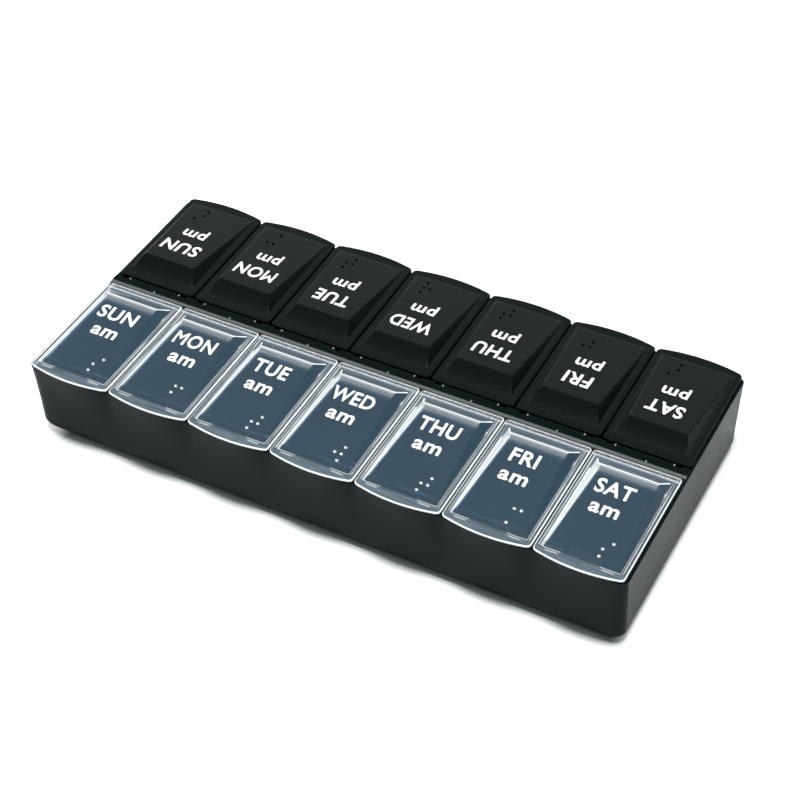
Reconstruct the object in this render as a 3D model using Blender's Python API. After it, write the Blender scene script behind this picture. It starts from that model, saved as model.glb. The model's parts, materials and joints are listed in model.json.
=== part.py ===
"""Weekly pill organizer: one moulded tray with two rows of seven wells, and fourteen hinged lids."""

import math

import bmesh
import bpy
from mathutils import Matrix, Vector

# The week. Sunday is at -X. The am row is at -Y, the pm row at +Y.
days = ("sun", "mon", "tue", "wed", "thu", "fri", "sat")
rows = (("am", -1), ("pm", 1))

# Lid, seen from above. Lengths run outwards from the hinge edge.
lid_pitch = 0.0300
lid_gap = 0.0006
lid_length = 0.0462
lid_bow = 0.0025
lid_corner_radius = 0.0018
hinge_corner_radius = 0.0012
flange_thickness = 0.0011

# Raised dome of the lid: a wedge, high at its ridge near the hinge and low at its toe.
dome_side_margin = 0.0021
dome_hinge_margin = 0.0030
dome_toe_margin = 0.0016
dome_height = 0.0036
ridge_setback = 0.0062
ridge_inset = 0.0027
ridge_radius = 0.0006
toe_height = 0.0004
toe_inset = 0.0004
lid_wall = 0.0011

# Skirt that drops into the well, with a gap for the latch tongue.
skirt_depth = 0.0018
skirt_clearance = 0.0004
tongue_gap_width = 0.0126
tongue_width = 0.0100
tongue_thickness = 0.0009
tongue_depth = 0.0025

# Hinge, under the tail of the flange. The axis is the origin of each lid.
hinge_edge = 0.00297
axis_depth = 0.0027
axis_setback = 0.00373
knuckle_radius = 0.0013
knuckle_length = 0.0206
web_thickness = 0.0020
pin_radius = 0.0007
pin_length = 0.0019
ear_radius = 0.0013
ear_thickness = 0.0022
ear_clearance = 0.0003
pin_clearance = 0.00025

# Tray
closed_height = 0.0304
seat_clearance = 0.0003
rim_drop = 0.0004
rim_clearance = 0.00025
end_wall_rim = 0.0011
end_wall_draft = 0.0001
base_half_width = 0.0484
wall_top_inset = 0.0003
rim_corner_radius = 0.0022
base_corner_radius = 0.0045
base_radius = 0.0034
partition_thickness = 0.0014
front_wall_thickness = 0.0015
floor_thickness = 0.0016
well_draft = 0.0004
well_front_draft = 0.0008
well_corner_radius = 0.0025
well_floor_radius = 0.0030

# Spine between the rows: a bar, a hinge trough on each side of it, and a channel underneath.
bar_half_width = 0.0018
trough_depth = 0.0067
trough_half_width = 0.0016
trough_wall = 0.0012
spine_wall = 0.0014

# Catch on the outer wall, which the latch tongue clicks past
catch_width = 0.0092
catch_reach = 0.0007
catch_height = 0.0010
catch_drop = 0.0005

# Overrun of a cut past the face that it opens, and sink of one form in the next before they are joined
overrun = 0.0100
sink = 0.0003

# Fineness
bow_segments = 6
corner_segments = 3
base_segments = 3
well_segments = 2
round_segments = 12
pin_segments = 8
merge_distance = 0.000002
flat_angle = math.radians(0.05)

# Worked out from the sizes above. A reach is a distance from the middle plane between the two rows.
lid_half_width = (lid_pitch - lid_gap) / 2
knuckle_end = knuckle_length / 2
tongue_gap_end = tongue_gap_width / 2
axis_reach = hinge_edge + axis_setback
axis_height = closed_height - axis_depth
flange_top = axis_depth
flange_underside = flange_top - flange_thickness
corner_reach = hinge_edge + lid_length
wall_top = closed_height - flange_thickness - seat_clearance
rim_top = closed_height - rim_drop
row_half_length = len(days) * lid_pitch / 2
rim_half_length = row_half_length - lid_gap / 2 + end_wall_rim
base_half_length = rim_half_length - end_wall_draft
notch_reach = corner_reach - wall_top_inset
well_half_width = (lid_pitch - partition_thickness) / 2
well_near = axis_reach + trough_half_width + trough_wall
well_far = notch_reach - front_wall_thickness
trough_floor = closed_height - trough_depth


def object_from(bm, name):
    """An object that holds the mesh, with its faces turned outwards."""
    bmesh.ops.recalc_face_normals(bm, faces=bm.faces)
    mesh = bpy.data.meshes.new(name)
    bm.to_mesh(mesh)
    bm.free()
    thing = bpy.data.objects.new(name, mesh)
    bpy.context.scene.collection.objects.link(thing)
    return thing


def add_loft(bm, loops):
    """Adds a closed solid that runs through the loops, which have the same number of points."""
    rings = [[bm.verts.new(point) for point in loop] for loop in loops]
    bm.faces.new(reversed(rings[0]))
    bm.faces.new(rings[-1])
    count = len(rings[0])
    for low, high in zip(rings, rings[1:]):
        for k in range(count):
            after = (k + 1) % count
            bm.faces.new((low[k], low[after], high[after], high[k]))


def rectangle(x_range, y_range, z):
    """Corners of a level rectangle, in order."""
    return [
        (x_range[0], y_range[0], z),
        (x_range[1], y_range[0], z),
        (x_range[1], y_range[1], z),
        (x_range[0], y_range[1], z),
    ]


def spans_height(edge):
    return abs(edge.verts[0].co.z - edge.verts[1].co.z) > sink


def round_edges(bm, edges, radius, segments):
    bmesh.ops.bevel(
        bm, geom=edges, offset=radius, segments=segments, profile=0.5, affect="EDGES", material=-1
    )


def add_box(bm, x_range, y_range, z_range):
    add_loft(bm, [rectangle(x_range, y_range, z) for z in z_range])


def add_cylinder(bm, radius, half_length, segments, centre):
    """Adds a cylinder along X."""
    turn = Matrix.Translation(centre) @ Matrix.Rotation(math.pi / 2, 4, "Y")
    bmesh.ops.create_cone(
        bm, cap_ends=True, segments=segments, radius1=radius, radius2=radius, depth=2 * half_length, matrix=turn
    )


def combine(thing, other, operation):
    """Joins the other solid to this one or cuts it away, and removes the other."""
    boolean = thing.modifiers.new(operation.lower(), "BOOLEAN")
    boolean.operation = operation
    boolean.object = other
    bpy.context.view_layer.update()
    evaluated = thing.evaluated_get(bpy.context.evaluated_depsgraph_get())
    result = bpy.data.meshes.new_from_object(evaluated)
    before = thing.data
    thing.modifiers.clear()
    thing.data = result
    bpy.data.meshes.remove(before)
    bpy.data.meshes.remove(other.data)
    result.name = thing.name


def tidy(thing):
    """Merges the doubles that cuts leave and flattens what is flat."""
    bm = bmesh.new()
    bm.from_mesh(thing.data)
    bmesh.ops.remove_doubles(bm, verts=bm.verts, dist=merge_distance)
    bmesh.ops.dissolve_limit(bm, angle_limit=flat_angle, verts=bm.verts, edges=bm.edges)
    bmesh.ops.triangulate(bm, faces=bm.faces)
    bm.to_mesh(thing.data)
    bm.free()


def plastic(name, colour, roughness, alpha=1.0):
    """A plain moulded plastic."""
    material = bpy.data.materials.new(name)
    material.use_nodes = True
    shader = material.node_tree.nodes["Principled BSDF"]
    shader.inputs["Base Color"].default_value = (*colour, 1)
    shader.inputs["Roughness"].default_value = roughness
    shader.inputs["Metallic"].default_value = 0
    shader.inputs["Alpha"].default_value = alpha
    material.diffuse_color = (*colour, alpha)
    return material


def bow(x, half_width):
    """How far the outer edge of a lid stands past its corners, at x from the middle of the lid."""
    return lid_bow * (1 - (x / half_width) ** 2)


# Lid. Local Y runs outwards, and the origin is the middle of the hinge axis.


def add_flange(bm):
    near = -axis_setback
    far = corner_reach - axis_reach
    steps = [lid_half_width * (1 - 2 * k / bow_segments) for k in range(bow_segments + 1)]
    outline = [(-lid_half_width, near), (lid_half_width, near)]
    outline += [(x, far + bow(x, lid_half_width)) for x in steps]
    loops = [[(x, y, z) for x, y in outline] for z in (flange_underside, flange_top)]
    add_loft(bm, loops)
    upright = [edge for edge in bm.edges if abs(edge.verts[0].co.z - edge.verts[1].co.z) > sink]
    for radius, is_hinge in ((hinge_corner_radius, True), (lid_corner_radius, False)):
        corners = []
        for edge in upright:
            if not edge.is_valid:
                continue
            spot = edge.verts[0].co
            at_corner = abs(abs(spot.x) - lid_half_width) < sink
            if at_corner and (spot.y < 0) == is_hinge:
                corners.append(edge)
        round_edges(bm, corners, radius, corner_segments)


def add_dome(bm):
    half_width = lid_half_width - dome_side_margin
    near = dome_hinge_margin - axis_setback
    far = corner_reach - axis_reach - dome_toe_margin
    base = rectangle((-half_width, half_width), (near, far), flange_top - sink)
    foot = rectangle((-half_width, half_width), (near, far), flange_top)
    ridge = near + ridge_setback
    top = [
        (-half_width + ridge_inset, ridge, flange_top + dome_height),
        (half_width - ridge_inset, ridge, flange_top + dome_height),
        (half_width - toe_inset, far - toe_inset, flange_top + toe_height),
        (-half_width + toe_inset, far - toe_inset, flange_top + toe_height),
    ]
    add_loft(bm, [base, foot, top])
    peak = flange_top + dome_height - sink
    ridge_edges = [edge for edge in bm.edges if min(vert.co.z for vert in edge.verts) > peak]
    round_edges(bm, ridge_edges, ridge_radius, 1)


def skirt_range():
    """Half width, near end and far end of the skirt, from the well that it drops into."""
    half_width = well_half_width - skirt_clearance
    near = well_near - axis_reach + skirt_clearance
    far = well_far - axis_reach - skirt_clearance
    return half_width, near, far


def add_skirt(bm):
    half_width, near, far = skirt_range()
    bottom = flange_underside - skirt_depth
    add_box(bm, (-half_width, half_width), (near, far), (bottom, flange_underside + sink))
    corners = [edge for edge in bm.edges if spans_height(edge)]
    round_edges(bm, corners, well_corner_radius - skirt_clearance, well_segments)


def add_cavity(bm):
    """The hollow under the dome and inside the skirt."""
    half_width, near, far = skirt_range()
    inner_width = half_width - lid_wall
    inner_near = near + lid_wall
    inner_far = far - lid_wall - tongue_thickness
    ridge_width = lid_half_width - dome_side_margin - ridge_inset - lid_wall
    toe_width = lid_half_width - dome_side_margin - toe_inset - lid_wall
    ridge = dome_hinge_margin - axis_setback + ridge_setback + lid_wall
    top = [
        (-ridge_width, ridge, flange_top + dome_height - lid_wall),
        (ridge_width, ridge, flange_top + dome_height - lid_wall),
        (toe_width, inner_far - toe_inset, flange_top + toe_height - lid_wall),
        (-toe_width, inner_far - toe_inset, flange_top + toe_height - lid_wall),
    ]
    x_range = (-inner_width, inner_width)
    below = rectangle(x_range, (inner_near, inner_far), flange_underside - skirt_depth - overrun)
    level = rectangle(x_range, (inner_near, inner_far), flange_underside)
    add_loft(bm, [below, level, top])


def add_tongue_gap(bm):
    """The gap in the skirt's outer side."""
    far = skirt_range()[2]
    inner_far = far - lid_wall - tongue_thickness
    bottom = flange_underside - skirt_depth - overrun
    add_box(bm, (-tongue_gap_end, tongue_gap_end), (inner_far - sink, far + sink), (bottom, flange_underside))


def add_tongue(bm):
    far = well_far - axis_reach - catch_reach - seat_clearance
    half_width = tongue_width / 2
    bottom = flange_underside - tongue_depth
    add_box(bm, (-half_width, half_width), (far - tongue_thickness, far), (bottom, flange_underside + sink))


def add_web(bm):
    half_width = web_thickness / 2
    add_box(bm, (-knuckle_end, knuckle_end), (-half_width, half_width), (0, flange_underside + sink))


def made(add, name, *arguments):
    """An object with one form in it."""
    bm = bmesh.new()
    add(bm, *arguments)
    return object_from(bm, name)


def lid_mesh():
    """The mesh that all the lids share."""
    lid = made(add_flange, "lid")
    combine(lid, made(add_dome, "dome"), "UNION")
    combine(lid, made(add_skirt, "skirt"), "UNION")
    combine(lid, made(add_cavity, "cavity"), "DIFFERENCE")
    combine(lid, made(add_tongue_gap, "tongue_gap"), "DIFFERENCE")
    combine(lid, made(add_tongue, "tongue"), "UNION")
    centre = Vector((0, 0, 0))
    knuckle = made(add_cylinder, "knuckle", knuckle_radius, knuckle_end, round_segments, centre)
    combine(knuckle, made(add_web, "web"), "UNION")
    pin = made(add_cylinder, "pin", pin_radius, knuckle_end + pin_length, pin_segments, centre)
    combine(knuckle, pin, "UNION")
    combine(lid, knuckle, "UNION")
    tidy(lid)
    mesh = lid.data
    bpy.data.objects.remove(lid)
    return mesh


# Tray


def tray_loop(z, inset):
    """Outline of the tray at a height, drawn in by an inset. Its long sides bow out in front of each lid."""
    share = z / rim_top
    half_length = base_half_length + (rim_half_length - base_half_length) * share - inset
    notch = base_half_width + (notch_reach - base_half_width) * share - inset
    corner_radius = base_corner_radius + (rim_corner_radius - base_corner_radius) * share
    side = []
    count = len(days) * bow_segments
    for k in range(count + 1):
        x = row_half_length * (2 * k / count - 1)
        off_centre = (x + row_half_length) % lid_pitch - lid_pitch / 2
        if abs(x) < row_half_length - base_corner_radius:
            side.append((x, -notch - bow(off_centre, lid_pitch / 2) * share))
    start_x, start_y = side[-1]
    for k in range(corner_segments + 1):
        angle = math.pi / 2 * k / corner_segments
        start_reach = half_length - start_x
        side.append((start_x + start_reach * math.sin(angle), start_y + corner_radius * (1 - math.cos(angle))))
    del side[len(side) - corner_segments - 1]
    corner = [(-x, y) for x, y in reversed(side[-corner_segments:])]
    front = corner + side
    back = [(-x, -y) for x, y in front]
    return [(x, y, z) for x, y in front + back]


def add_tray_body(bm):
    loops = []
    for k in range(base_segments + 1):
        angle = math.pi / 2 * k / base_segments
        loops.append(tray_loop(base_radius * (1 - math.sin(angle)), base_radius * (1 - math.cos(angle))))
    loops.reverse()
    loops.append(tray_loop(rim_top, 0))
    add_loft(bm, loops)


def row_range(side, near, far):
    """Range along Y from near to far in the row on this side."""
    return tuple(sorted((side * near, side * far)))


def add_wells(bm):
    for _, side in rows:
        for index in range(len(days)):
            x = lid_x(index)
            lower = well_half_width - well_draft
            loops = []
            for z, half_width, near, far in (
                (floor_thickness, lower, well_near + well_draft, well_far - well_front_draft),
                (wall_top + overrun, well_half_width, well_near, well_far),
            ):
                loops.append(rectangle((x - half_width, x + half_width), row_range(side, near, far), z))
            add_loft(bm, loops)
    upright = [edge for edge in bm.edges if spans_height(edge)]
    round_edges(bm, upright, well_corner_radius, well_segments)
    low = [edge for edge in bm.edges if max(vert.co.z for vert in edge.verts) < floor_thickness + sink]
    round_edges(bm, low, well_floor_radius, well_segments)


def lid_x(index):
    """Middle of a lid along X."""
    return (index + 1 / 2) * lid_pitch - row_half_length


def add_seats(bm):
    """What is cut from the top for the flanges and for the tails that swing down in the troughs."""
    half_length = rim_half_length - end_wall_rim + rim_clearance
    far = corner_reach + lid_bow + overrun
    for _, side in rows:
        y_range = row_range(side, axis_reach, far)
        add_box(bm, (-half_length, half_length), y_range, (wall_top, rim_top + overrun))


def add_troughs(bm):
    half_length = rim_half_length - end_wall_rim + rim_clearance
    for _, side in rows:
        y_range = row_range(side, bar_half_width, axis_reach + trough_half_width)
        add_box(bm, (-half_length, half_length), y_range, (trough_floor, rim_top + overrun))


def add_channel(bm):
    """The open channel under the spine."""
    half_width = well_near - spine_wall
    half_length = row_half_length - spine_wall - base_corner_radius
    add_box(bm, (-half_length, half_length), (-half_width, half_width), (-overrun, trough_floor - spine_wall))


def ear_places():
    for _, side in rows:
        for index in range(len(days)):
            for end in (-1, 1):
                near = knuckle_end + ear_clearance
                middle = near + ear_thickness / 2
                yield Vector((lid_x(index) + end * middle, side * axis_reach, axis_height))


def add_ears(bm):
    """Posts in the troughs that hold the pins, with round tops about the hinge axis."""
    half_thickness = ear_thickness / 2
    for place in ear_places():
        profile = [(-ear_radius, trough_floor - sink), (ear_radius, trough_floor - sink)]
        for k in range(round_segments // 2 + 1):
            angle = 2 * math.pi * k / round_segments
            profile.append((ear_radius * math.cos(angle), axis_height + ear_radius * math.sin(angle)))
        loops = []
        for x in (place.x - half_thickness, place.x + half_thickness):
            loops.append([(x, place.y + y, z) for y, z in profile])
        add_loft(bm, loops)


def add_pin_holes(bm):
    for place in ear_places():
        add_cylinder(bm, pin_radius + pin_clearance, ear_thickness / 2 + sink, pin_segments, place)


def add_catches(bm):
    """Ridges on the inside of the outer walls, one behind each latch tongue."""
    half_width = catch_width / 2
    top = wall_top - catch_drop
    for _, side in rows:
        for index in range(len(days)):
            x = lid_x(index)
            y_range = row_range(side, well_far - catch_reach, well_far + sink + well_front_draft)
            add_box(bm, (x - half_width, x + half_width), y_range, (top - catch_height, top))


def build_tray(material):
    tray = made(add_tray_body, "tray")
    combine(tray, made(add_seats, "seats"), "DIFFERENCE")
    combine(tray, made(add_troughs, "troughs"), "DIFFERENCE")
    combine(tray, made(add_channel, "channel"), "DIFFERENCE")
    combine(tray, made(add_wells, "wells"), "DIFFERENCE")
    combine(tray, made(add_catches, "catches"), "UNION")
    combine(tray, made(add_ears, "ears"), "UNION")
    combine(tray, made(add_pin_holes, "pin_holes"), "DIFFERENCE")
    tidy(tray)
    tray.data.materials.clear()
    tray.data.materials.append(material)
    return tray


def build_lids(mesh, materials):
    """Places the lids. The am lids are the same moulding turned half round."""
    for row, side in rows:
        row_mesh = mesh.copy()
        row_mesh.name = row + "_lid"
        row_mesh.materials.clear()
        row_mesh.materials.append(materials[row])
        for index, day in enumerate(days):
            lid = bpy.data.objects.new(f"{day}_{row}_lid", row_mesh)
            lid.location = (lid_x(index), side * axis_reach, axis_height)
            if side < 0:
                lid.rotation_euler = (0, 0, math.pi)
            bpy.context.scene.collection.objects.link(lid)


def main():
    for thing in list(bpy.data.objects):
        bpy.data.objects.remove(thing)
    black = plastic("black_plastic", (0.020, 0.023, 0.025), 0.40)
    smoky = plastic("smoky_plastic", (0.10, 0.14, 0.18), 0.15, 0.45)
    build_tray(black)
    build_lids(lid_mesh(), {"am": smoky, "pm": black})


main()
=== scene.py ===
# %% [markdown]
# # A weekly pill organizer
#
# The real object is a black moulded tray with two rows of seven wells. Every well has
# a lid hinged along the middle of the tray: smoky see-through lids for the morning
# row, black ones for the evening row. The construction is already modelled and loads
# here as a fixed frame. This script makes what the eye sees on it: the moulded lids
# with their domes and raised dots, the printed words, the rounded tray, the plastics,
# and a plain studio around them.

# %% Load the frame
import json
import math

import bmesh
import bpy
from mathutils import Matrix, Vector


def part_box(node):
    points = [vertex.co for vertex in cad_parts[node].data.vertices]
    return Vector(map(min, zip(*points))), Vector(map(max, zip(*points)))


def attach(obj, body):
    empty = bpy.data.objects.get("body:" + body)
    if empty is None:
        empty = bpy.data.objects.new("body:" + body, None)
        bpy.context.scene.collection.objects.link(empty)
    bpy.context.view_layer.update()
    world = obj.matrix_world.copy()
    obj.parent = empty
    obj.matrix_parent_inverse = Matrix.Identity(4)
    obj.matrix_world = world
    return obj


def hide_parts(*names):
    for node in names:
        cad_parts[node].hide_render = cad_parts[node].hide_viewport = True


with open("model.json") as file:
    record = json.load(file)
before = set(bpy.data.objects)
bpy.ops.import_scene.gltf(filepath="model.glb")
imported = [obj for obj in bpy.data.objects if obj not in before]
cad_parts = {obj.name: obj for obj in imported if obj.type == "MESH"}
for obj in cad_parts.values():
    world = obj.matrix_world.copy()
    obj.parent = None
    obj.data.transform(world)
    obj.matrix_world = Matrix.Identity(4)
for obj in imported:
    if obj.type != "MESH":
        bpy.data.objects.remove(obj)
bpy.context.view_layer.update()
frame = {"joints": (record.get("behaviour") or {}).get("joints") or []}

# %% [markdown]
# ## Places from the frame
#
# Nothing here is placed by eye. Each lid turns about its own hinge, so the hinge points
# of the frame say where the lids go, and the box of one lid says how wide and how long
# it is. All sizes are metres. A lid is modelled once, with its hinge axis at the origin
# and Y running outwards, and is then put in place fourteen times.

# %% Hinge points and the lid's outline
days = ("sun", "mon", "tue", "wed", "thu", "fri", "sat")
row_sides = {"am": -1, "pm": 1}

hinge_points = {joint["child"]: Vector(joint["pos_m"]) for joint in frame["joints"]}
hinge_point = hinge_points["wed_pm_lid"]
lid_low, lid_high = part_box("wed_pm_lid")
tray_low, tray_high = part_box("tray")
lid_pitch = hinge_points["thu_pm_lid"].x - hinge_point.x

lid_half_width = (lid_high.x - lid_low.x) / 2
lid_near = lid_low.y - hinge_point.y
lid_far = lid_high.y - hinge_point.y
print("lid:", round(lid_half_width * 2, 4), "wide,", round(lid_far - lid_near, 4), "long")

# %% [markdown]
# ## Two helpers
#
# A bmesh is only a drawing board. When a form is finished, its faces are turned
# outwards and it becomes an object. Two such solids are then joined, or one is cut from
# the other, with a Boolean modifier whose result is kept as the new mesh.

# %% Finish a form and combine two solids
flat_angle = math.radians(0.05)
merge_distance = 0.000002
sink = 0.0003


def solid_from(bm, name):
    bmesh.ops.recalc_face_normals(bm, faces=bm.faces)
    mesh = bpy.data.meshes.new(name)
    bm.to_mesh(mesh)
    bm.free()
    thing = bpy.data.objects.new(name, mesh)
    bpy.context.scene.collection.objects.link(thing)
    return thing


def combine(thing, other, operation):
    boolean = thing.modifiers.new(operation.lower(), "BOOLEAN")
    boolean.operation = operation
    boolean.solver = "MANIFOLD"
    boolean.object = other
    evaluated = thing.evaluated_get(bpy.context.evaluated_depsgraph_get())
    result = bpy.data.meshes.new_from_object(evaluated)
    before = thing.data
    thing.modifiers.clear()
    thing.data = result
    bpy.data.meshes.remove(before)
    bpy.data.meshes.remove(other.data)


def add_block(bm, low, high):
    verts = bmesh.ops.create_cube(bm, size=1)["verts"]
    low, high = Vector(low), Vector(high)
    bmesh.ops.scale(bm, vec=high - low, verts=verts)
    bmesh.ops.translate(bm, vec=(low + high) / 2, verts=verts)
    return verts


def round_edges(bm, edges, radius, segments):
    bmesh.ops.bevel(
        bm, geom=edges, offset=radius, segments=segments, profile=0.5, affect="EDGES", material=-1
    )


# %% [markdown]
# ## The lid's flange
#
# The flange is the thin plate round the lid's dome. Its outer edge bows out, its
# corners are rounded, and its rim is soft to the touch. A grid with one row of faces
# gives the outline: the far side follows a parabola. The corners are bevelled while
# the sheet is still flat, which is far easier than afterwards, and then the sheet is
# extruded to its thickness.

# %% Flange
lid_bow = 0.0019
bow_steps = 12
flange_thickness = 0.0011
axis_depth = 0.0027
lid_corner_radius = 0.0013
hinge_corner_radius = 0.0012
corner_steps = 6
rim_radius = 0.00052
rim_steps = 4

flange_top = axis_depth
flange_underside = flange_top - flange_thickness
corner_far = lid_far - lid_bow


def bow(x):
    return lid_bow * (1 - (x / lid_half_width) ** 2)


def round_corner(bm, verts, radius):
    bmesh.ops.bevel(
        bm, geom=verts, offset=radius, segments=corner_steps, profile=0.5, affect="VERTICES", material=-1
    )


def add_flange(bm):
    for vert in bmesh.ops.create_grid(bm, x_segments=bow_steps, y_segments=1, size=1)["verts"]:
        x = vert.co.x * lid_half_width
        vert.co = (x, corner_far + bow(x) if vert.co.y > 0 else lid_near, flange_underside)
    corners = [vert for vert in bm.verts if abs(vert.co.x) > lid_half_width - sink]
    inner = [vert for vert in corners if vert.co.y < 0]
    outer = [vert for vert in corners if vert.co.y > 0]
    round_corner(bm, inner, hinge_corner_radius)
    round_corner(bm, outer, lid_corner_radius)
    raised = bmesh.ops.extrude_face_region(bm, geom=list(bm.faces))["geom"]
    raised = [item for item in raised if isinstance(item, bmesh.types.BMVert)]
    bmesh.ops.translate(bm, vec=(0, 0, flange_thickness), verts=raised)
    bmesh.ops.dissolve_limit(bm, angle_limit=flat_angle, verts=bm.verts, edges=bm.edges)
    rim = [edge for edge in bm.edges if edge.verts[0].co.z == edge.verts[1].co.z]
    round_edges(bm, rim, rim_radius, rim_steps)


# %% [markdown]
# ## The dome
#
# On the flange stands a wedge: steep at the hinge side, highest at a ridge, and then
# falling almost to nothing at the outer edge. A cube whose upper corners are moved
# makes it. The ridge gets a large rounding and the other edges a small one, because
# those roundings carry the bright lines that the lid shows from afar.

# %% Dome
dome_side_margin = 0.0021
dome_hinge_margin = 0.0030
dome_toe_margin = 0.0022
dome_height = 0.0036
ridge_setback = 0.0058
ridge_inset = 0.0027
ridge_radius = 0.00065
toe_height = 0.0004
toe_inset = 0.0004
dome_edge_radius = 0.00035
foot_margin = 0.00028
foot_height = 0.00022
hard_angle = math.radians(18)

dome_half_width = lid_half_width - dome_side_margin
dome_near = lid_near + dome_hinge_margin
dome_far = corner_far - dome_toe_margin
ridge_y = dome_near + ridge_setback
toe_y = dome_far - toe_inset


def taper(verts, ridge_end, toe_end, ridge_place, toe_place, ridge_top, toe_top):
    """Moves the upper corners of a block to the wedge's ridge and toe."""
    middle = sum(vert.co.z for vert in verts) / len(verts)
    centre = sum(vert.co.y for vert in verts) / len(verts)
    for vert in verts:
        if vert.co.z > middle:
            side = math.copysign(1, vert.co.x)
            is_ridge = vert.co.y < centre
            vert.co.x = side * (ridge_end if is_ridge else toe_end)
            vert.co.y = ridge_place if is_ridge else toe_place
            vert.co.z = ridge_top if is_ridge else toe_top


def add_dome(bm):
    low = (-dome_half_width, dome_near, flange_top - sink)
    high = (dome_half_width, dome_far, flange_top + dome_height)
    taper(
        add_block(bm, low, high), dome_half_width - ridge_inset, dome_half_width - toe_inset,
        ridge_y, toe_y, flange_top + dome_height, flange_top + toe_height,
    )
    above_toe = flange_top + toe_height + sink
    ridge = [edge for edge in bm.edges if min(vert.co.z for vert in edge.verts) > above_toe]
    round_edges(bm, ridge, ridge_radius, corner_steps)
    hard = [edge for edge in bm.edges if edge.calc_face_angle() > hard_angle]
    hard = [edge for edge in hard if max(vert.co.z for vert in edge.verts) > flange_top]
    round_edges(bm, hard, dome_edge_radius, rim_steps)


def add_foot(bm):
    """The low step that runs round the dome."""
    low = (-dome_half_width - foot_margin, dome_near - foot_margin, flange_top - sink)
    add_block(bm, low, (dome_half_width + foot_margin, dome_far + foot_margin, flange_top + foot_height))
    upright = [edge for edge in bm.edges if edge.verts[0].co.z != edge.verts[1].co.z]
    round_edges(bm, upright, 2 * foot_margin, rim_steps)
    upper = [edge for edge in bm.edges if min(vert.co.z for vert in edge.verts) > flange_top]
    round_edges(bm, upper, foot_height / 2, rim_steps)


def top_height(y):
    """Height of the dome's long face at a place between its ridge and its toe."""
    share = (y - ridge_y) / (toe_y - ridge_y)
    return flange_top + dome_height + (toe_height - dome_height) * share


top_slope = math.atan((dome_height - toe_height) / (toe_y - ridge_y))
print("dome falls", round(math.degrees(top_slope), 1), "degrees from ridge to toe")

# %% [markdown]
# ## Underneath the lid
#
# A lid is a thin shell. Under the flange a skirt drops into the well and keeps the
# lid square, and a springy tongue in a gap of the skirt holds it shut. All of this
# shows through the smoky lids, so it has to be there. The hollow is a second, smaller
# wedge that is cut out.

# %% Skirt, hollow and tongue
lid_wall = 0.0011
skirt_depth = 0.0018
skirt_half_width = 0.0139
skirt_near = 0.0032
skirt_far = 0.04027
skirt_corner_radius = 0.0021
tongue_gap_width = 0.0126
tongue_width = 0.0100
tongue_thickness = 0.0009
tongue_depth = 0.0025
tongue_far = 0.03967
overrun = 0.0100
hollow_far = skirt_far - lid_wall - tongue_thickness


def add_skirt(bm):
    low = (-skirt_half_width, skirt_near, flange_underside - skirt_depth)
    add_block(bm, low, (skirt_half_width, skirt_far, flange_underside + sink))
    upright = [edge for edge in bm.edges if edge.verts[0].co.z != edge.verts[1].co.z]
    round_edges(bm, upright, skirt_corner_radius, corner_steps)


def add_hollow(bm):
    inner = skirt_half_width - lid_wall
    low = (-inner, skirt_near + lid_wall, flange_underside)
    verts = add_block(bm, low, (inner, hollow_far, flange_top + dome_height))
    taper(
        verts, dome_half_width - ridge_inset - lid_wall, dome_half_width - toe_inset - lid_wall,
        ridge_y + lid_wall, hollow_far - toe_inset,
        flange_top + dome_height - lid_wall, flange_top + toe_height - lid_wall,
    )
    floor = [face for face in bm.faces if face.calc_center_median().z < flange_underside + sink / 2]
    sunk = bmesh.ops.extrude_face_region(bm, geom=floor)["geom"]
    sunk = [item for item in sunk if isinstance(item, bmesh.types.BMVert)]
    bmesh.ops.translate(bm, vec=(0, 0, -overrun), verts=sunk)
    bmesh.ops.delete(bm, geom=floor, context="FACES")
    upper = [edge for edge in bm.edges if min(vert.co.z for vert in edge.verts) > flange_underside + sink]
    round_edges(bm, upper, rim_radius, rim_steps)


def add_tongue_gap(bm):
    half_width = tongue_gap_width / 2
    low = (-half_width, hollow_far - sink, flange_underside - overrun)
    add_block(bm, low, (half_width, skirt_far + sink, flange_underside))


def add_tongue(bm):
    half_width = tongue_width / 2
    low = (-half_width, tongue_far - tongue_thickness, flange_underside - tongue_depth)
    add_block(bm, low, (half_width, tongue_far, flange_underside + sink))
    lower = [edge for edge in bm.edges if max(vert.co.z for vert in edge.verts) < flange_underside]
    round_edges(bm, lower, rim_radius / 2, rim_steps)


# %% [markdown]
# ## The hinge
#
# Each lid turns on two short pins at the ends of a round knuckle, which hangs under the
# flange on a web. Pins and knuckle are cylinders along X: a cone with equal radii,
# turned by a matrix as it is made.

# %% Knuckle, web and pins
knuckle_radius = 0.0013
knuckle_half_length = 0.0103
web_thickness = 0.0020
pin_radius = 0.0007
pin_length = 0.0019
round_steps = 24


def add_round_bar(bm, radius, half_length):
    bmesh.ops.create_cone(
        bm, cap_ends=True, segments=round_steps, radius1=radius, radius2=radius,
        depth=2 * half_length, matrix=Matrix.Rotation(math.pi / 2, 4, "Y"),
    )


def add_web(bm):
    half = web_thickness / 2
    add_block(bm, (-knuckle_half_length, -half, 0), (knuckle_half_length, half, flange_underside + sink))


# %% [markdown]
# ## Raised dots
#
# Near its outer edge each lid has a few raised dots for the fingertip, three rows of two
# places. Which places are filled says the day. On the pm row of the photographed
# object, Monday and Friday carry each other's dots. A dot is a flattened sphere that
# sits half in the dome's long face.

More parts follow.
